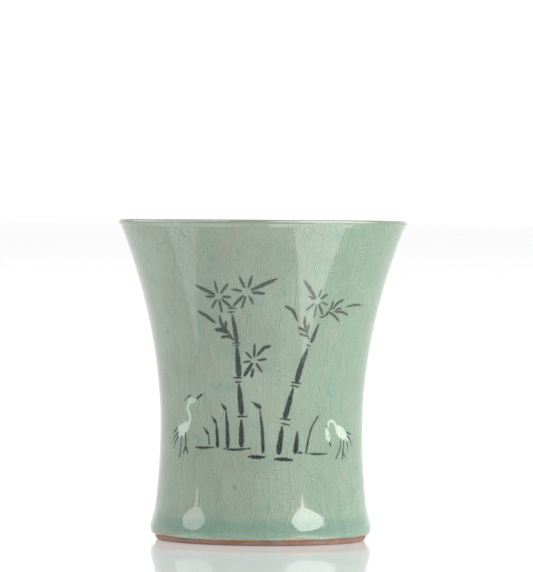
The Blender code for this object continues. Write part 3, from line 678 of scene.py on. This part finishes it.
def celadon(tree):
    """Place, colour, bump height and roughness of the coat, shared by the coat and the inlays."""
    place = tree.place()
    axes = tree.axes(place)
    rightward = axes["X"]
    outward = tree.vector('NORMALIZE', tree.vector('MULTIPLY', place, (1.0, 1.0, 0.0)))
    bend = tree.add("ShaderNodeTexNoise", {"Vector": place, "Scale": 0.07, "Detail": 1.0})
    offset = tree.vector('SUBTRACT', bend.outputs["Color"], (0.5, 0.5, 0.5))
    bent = tree.vector('ADD', place, tree.vector('MULTIPLY', offset, CRACK_BEND))
    lit, shaded, tint = cracks(tree, bent, outward, *LONG_CRACKS)
    fine_lit, fine_shaded, fine_tint = cracks(tree, bent, outward, *FINE_CRACKS)

    broad = tree.noise(place, scale=0.035)
    patches = tree.noise(place, scale=0.11, detail=3.0, roughness=0.6)
    upright = tree.vector('MULTIPLY', place, STREAK_CELLS)
    streaks = tree.noise(upright, scale=1.0, detail=3.0, roughness=0.6)
    grain = tree.noise(place, scale=2.2, detail=3.0, roughness=0.6)
    teal = tree.noise(tree.vector('ADD', place, TEAL_OFFSET), scale=0.13)

    body = tree.mix(tree.ramp(broad, low=0.35, high=0.65), GLAZE_MAIN, GLAZE_PALE)
    body = tree.mix(tree.ramp(rightward, low=2.0, high=36.0), body, GLAZE_GREEN)
    body = tree.mix(tree.ramp(patches, low=0.55, high=0.72, last=0.55), body, GLAZE_WARM)
    body = tree.mix(tree.ramp(teal, low=0.58, high=0.75, last=0.6), body, GLAZE_TEAL)
    level = tree.math('ADD', axes["Z"], tree.gain(patches, 0.5, 5.0))
    body = tree.mix(tree.ramp(level, low=7.5, high=11.5, first=0.8, last=0.0), body, GLAZE_POOL)

    presence = tree.ramp(tree.noise(place, scale=0.05, detail=1.0), low=0.3, high=0.6, first=0.6)
    presence = tree.math('MULTIPLY', presence, tree.ramp(rightward, low=-20.0, high=20.0, first=0.7))
    fine = tree.ramp(tree.noise(place, scale=0.08, detail=1.0), low=0.35, high=0.6, first=0.2, last=0.9)
    fine = tree.math('MULTIPLY', fine, presence)
    lit = tree.math('MAXIMUM', tree.math('MULTIPLY', lit, presence), tree.math('MULTIPLY', fine_lit, fine))
    shaded = tree.math('MAXIMUM', tree.math('MULTIPLY', shaded, presence),
                       tree.math('MULTIPLY', fine_shaded, fine))
    tone = 1.0
    for value, middle, factor in ((streaks, 0.5, STREAK_TONE), (grain, 0.5, GRAIN_TONE),
                                  (tint, 0.5, CELL_TONE), (fine_tint, 0.5, FINE_CELL_TONE),
                                  (lit, 0.0, LIT_TONE), (shaded, 0.0, SHADED_TONE)):
        tone = tree.math('ADD', tree.gain(value, middle, factor), tone)
    grey = tree.add("ShaderNodeCombineXYZ", {0: tone, 1: tone, 2: tone}).outputs[0]
    body = tree.mix(1.0, body, grey, 'MULTIPLY')

    relief = tree.math('SUBTRACT', tree.math('MULTIPLY', streaks, 0.4), tree.math('MULTIPLY', lit, 0.6))
    relief = tree.math('ADD', relief, tree.math('MULTIPLY', tree.noise(place, scale=0.5), 0.5))
    rough = tree.ramp(patches, low=0.3, high=0.7, first=0.035, last=0.07)
    rough = tree.math('ADD', rough, tree.math('MULTIPLY', lit, 0.12))
    return place, body, relief, rough


def glossy(tree, body, relief, rough):
    """The shader of a clear, glossy fired surface over a colour."""
    bump = tree.add("ShaderNodeBump", {"Height": relief, "Strength": COAT_BUMP, "Distance": COAT_RELIEF})
    shader = tree.add("ShaderNodeBsdfPrincipled", {"Base Color": body, "Roughness": rough,
                                                   "IOR": COAT_IOR, "Normal": bump.outputs["Normal"]})
    tree.add("ShaderNodeOutputMaterial", {"Surface": shader.outputs[0]})


def coat_material():
    """The crackled coat, thin and ochre along its ragged lower edge and warmer on the lip."""
    material, tree = new_material("celadon_coat")
    place, body, relief, rough = celadon(tree)
    height = tree.axes(place)["Z"]
    ragged = tree.gain(tree.noise(place, scale=0.5, detail=4.0, roughness=0.7), 0.5, 1.6)
    uneven = tree.gain(tree.noise(place, scale=0.09, detail=1.0), 0.5, 2.4)
    rise = tree.math('ADD', tree.stored("rise"), tree.math('ADD', ragged, uneven))
    body = tree.mix(tree.ramp(height, low=HEIGHT - 2.5, high=HEIGHT, last=0.35), body, GLAZE_WARM)
    body = tree.mix(tree.ramp(rise, low=0.1, high=0.8, first=1.0, last=0.0), body, OCHRE)
    glossy(tree, body, relief, rough)
    return material


def inner_coat_material():
    """The same coat inside the well, where it pools on the floor, and under the foot."""
    material, tree = new_material("celadon_inner_coat")
    place, body, relief, rough = celadon(tree)
    pool = tree.ramp(tree.axes(place)["Z"], low=FLOOR_HEIGHT, high=FLOOR_HEIGHT + 9.0, first=0.6, last=0.0)
    glossy(tree, tree.mix(pool, body, GLAZE_POOL), relief, rough)
    return material


def inlay_material():
    """Slip seen through the coat, with grain and worn soft edges, a little paler further up."""
    material, tree = new_material("inlaid_slip")
    place, body, relief, rough = celadon(tree)
    ragged = tree.math('SUBTRACT', tree.noise(place, scale=1.5, detail=3.0, roughness=0.7), 0.5)
    speckle = tree.noise(place, scale=2.3, detail=3.0, roughness=0.75)
    black = tree.mix(tree.ramp(speckle, low=0.47, high=0.62), BLACK_INK, BLACK_SPECKLE)
    black = tree.mix(tree.ramp(tree.axes(place)["Z"], low=58.0, high=96.0, last=0.15), black, GLAZE_PALE)
    white = tree.mix(tree.ramp(speckle, low=0.5, high=0.8, last=0.3), WHITE_INK, GLAZE_PALE)
    for ink, fill, (softness, wear) in (("white", white, WHITE_EDGE), ("black", black, BLACK_EDGE)):
        depth = tree.math('ADD', tree.stored(ink + "_depth"), tree.math('MULTIPLY', ragged, wear))
        body = tree.mix(tree.ramp(depth, low=-softness, high=softness, last=INK_COVER), body, fill)
    glossy(tree, body, relief, rough)
    return material


def clay_material():
    """Bare fired clay with fine grain, dark specks and turning lines."""
    material, tree = new_material("bare_clay")
    place = tree.place()
    cloud = tree.noise(place, scale=0.12, detail=3.0, roughness=0.6)
    grain = tree.noise(place, scale=2.5, detail=4.0, roughness=0.7)
    speck = tree.add("ShaderNodeTexVoronoi", {"Vector": place, "Scale": 1.1}).outputs["Distance"]
    radius = tree.vector('LENGTH', tree.vector('MULTIPLY', place, (1.0, 1.0, 0.0)), out="Value")
    turning = tree.math('SINE', tree.math('MULTIPLY', radius, 9.0))
    body = tree.mix(tree.ramp(cloud, low=0.3, high=0.7), CLAY_MAIN, CLAY_PALE)
    body = tree.mix(tree.ramp(grain, low=0.35, high=0.75, first=0.6, last=0.0), body, CLAY_DARK)
    body = tree.mix(tree.ramp(speck, low=0.08, high=0.2, first=0.6, last=0.0), body, CLAY_DARK)
    relief = tree.math('ADD', grain, tree.math('MULTIPLY', turning, 0.12))
    bump = tree.add("ShaderNodeBump", {"Height": relief, "Strength": CLAY_BUMP, "Distance": CLAY_RELIEF})
    rough = tree.ramp(grain, low=0.3, high=0.7, first=0.72, last=0.95)
    shader = tree.add("ShaderNodeBsdfPrincipled", {"Base Color": body, "Roughness": rough,
                                                   "Normal": bump.outputs["Normal"]})
    tree.add("ShaderNodeOutputMaterial", {"Surface": shader.outputs[0]})
    return material


# The table top in metres, with noise per metre; its reflections show only at a low angle.
TABLE_HALF = 300.0
TABLE_NOISE = 14.0
TABLE_GLOW = 0.6
TABLE_IOR = 1.5
MIRROR_LEAST = 0.36
MIRROR_MOST = 0.46

# Softboxes: name, azimuth, elevation, distance in metres, turn, side in metres, radiance.
HIGHLIGHTS = (("highlight_right", 57.7, 41.0, 0.4, 24.8, 0.49, 6.4),
              ("highlight_left", -82.0, 41.4, 0.34, 61.0, 0.45, 2.8))
FILLS = (("fill_right", 55.5, 33.0, 2.0, 45.0, 1.32, 4.2),
         ("fill_left", -77.0, 30.0, 2.0, 45.0, 1.14, 1.5))

# The camera: its place before it goes round and its reach in metres, and its angles in degrees.
CAMERA_PLACE = (0.0015, -1.906, HEIGHT * MM)
CAMERA_AROUND = 0.44
CAMERA_DOWN = 0.749
CAMERA_ROLL = 0.45
CAMERA_LENS = 320.3
CAMERA_SENSOR = 36.0
CAMERA_REACH = 1000.0

AXIS_X = (1.0, 0.0, 0.0)
AXIS_Z = (0.0, 0.0, 1.0)


def rotation(axis, degrees):
    """A turn about an axis."""
    return Quaternion(axis, math.radians(degrees))


def table_material():
    """A pale glossy table top that glows a little."""
    material, tree = new_material("pale_table")
    place = tree.add("ShaderNodeTexCoord").outputs["Object"]
    rough = tree.ramp(tree.noise(place, scale=TABLE_NOISE), low=0.3, high=0.7, first=0.045, last=0.065)
    diffuse = tree.add("ShaderNodeBsdfDiffuse", {"Color": TABLE_GREY})
    gloss = tree.add("ShaderNodeBsdfGlossy", {"Color": WHITE, "Roughness": rough})
    glow = tree.add("ShaderNodeEmission", {"Color": WHITE, "Strength": TABLE_GLOW})
    fresnel = tree.add("ShaderNodeFresnel", {"IOR": TABLE_IOR}).outputs[0]
    seen = tree.ramp(fresnel, low=0.35, high=0.6, last=MIRROR_MOST)
    reflected = tree.math('MAXIMUM', tree.math('MINIMUM', fresnel, MIRROR_MOST), MIRROR_LEAST)
    direct = tree.add("ShaderNodeLightPath").outputs["Is Camera Ray"]
    share = tree.add("ShaderNodeMix", {0: direct, 2: reflected, 3: seen}).outputs[0]
    pale = tree.add("ShaderNodeAddShader", {0: diffuse.outputs[0], 1: glow.outputs[0]})
    shader = tree.add("ShaderNodeMixShader", {0: share, 1: pale.outputs[0], 2: gloss.outputs[0]})
    tree.add("ShaderNodeOutputMaterial", {"Surface": shader.outputs[0]})
    return material


def add_floor():
    """A table top far wider than the view."""
    mesh = bpy.data.meshes.new("table_top")
    corners = [(x * TABLE_HALF, y * TABLE_HALF, 0.0) for x, y in ((-1, -1), (1, -1), (1, 1), (-1, 1))]
    mesh.from_pydata(corners, [], [(0, 1, 2, 3)])
    mesh.materials.append(table_material())
    item = bpy.data.objects.new("table_top", mesh)
    bpy.context.scene.collection.objects.link(item)


def add_softbox(name, azimuth, elevation, distance, turn_angle, side, radiance):
    """A square soft light that faces the pot, turned in its own plane. Angles are in degrees."""
    data = bpy.data.lights.new(name, 'AREA')
    data.shape = 'SQUARE'
    data.size = side
    data.energy = radiance * math.pi * side ** 2
    light = bpy.data.objects.new(name, data)
    azimuth, elevation = math.radians(azimuth), math.radians(elevation)
    out = Vector((math.sin(azimuth) * math.cos(elevation), -math.cos(azimuth) * math.cos(elevation),
                  math.sin(elevation)))
    light.location = out * distance + Vector((0.0, 0.0, HEIGHT * MM / 2))
    light.rotation_mode = 'QUATERNION'
    light.rotation_quaternion = out.to_track_quat('Z', 'Y') @ rotation(AXIS_Z, turn_angle)
    bpy.context.scene.collection.objects.link(light)
    return light


def add_lights():
    """Near softboxes that show only in reflections, and far ones that light without being reflected."""
    for row in HIGHLIGHTS:
        light = add_softbox(*row)
        light.visible_diffuse = False
        light.visible_camera = False
    for row in FILLS:
        add_softbox(*row).visible_glossy = False


def add_world():
    """A white room, brightest behind the pot and dim behind the camera."""
    world = bpy.data.worlds.new("studio")
    world.use_nodes = True
    world.node_tree.nodes.clear()
    tree = Tree(world.node_tree)
    depth = tree.axes(tree.add("ShaderNodeTexCoord").outputs["Generated"])["Y"]
    around = tree.ramp(depth, low=-0.6, high=0.4, first=0.25, last=0.72)
    behind = tree.math('POWER', tree.math('MAXIMUM', depth, 0.0), 4.0)
    strength = tree.math('ADD', around, tree.math('MULTIPLY', behind, 0.6))
    background = tree.add("ShaderNodeBackground", {"Color": WHITE, "Strength": strength})
    tree.add("ShaderNodeOutputWorld", {"Surface": background.outputs[0]})
    bpy.context.scene.world = world


def add_camera():
    """A long lens at the height of the rim, tipped down slightly."""
    data = bpy.data.cameras.new("camera")
    data.sensor_width = CAMERA_SENSOR
    data.lens = CAMERA_LENS
    data.clip_end = CAMERA_REACH
    camera = bpy.data.objects.new("camera", data)
    around = rotation(AXIS_Z, CAMERA_AROUND)
    camera.location = around @ Vector(CAMERA_PLACE)
    camera.rotation_mode = 'QUATERNION'
    tipped = rotation(AXIS_X, 90.0 - CAMERA_DOWN)
    camera.rotation_quaternion = around @ tipped @ rotation(AXIS_Z, CAMERA_ROLL)
    bpy.context.scene.collection.objects.link(camera)
    bpy.context.scene.camera = camera


outside = outside_coat(coat_material())
add_rise(outside)
inner = inner_coat_material()
well_coat(inner)
base_coat(inner)
clay_foot(clay_material())
picture(inlay_material())
add_floor()
add_world()
add_lights()
add_camera()
bpy.context.scene.view_settings.view_transform = 'Standard'
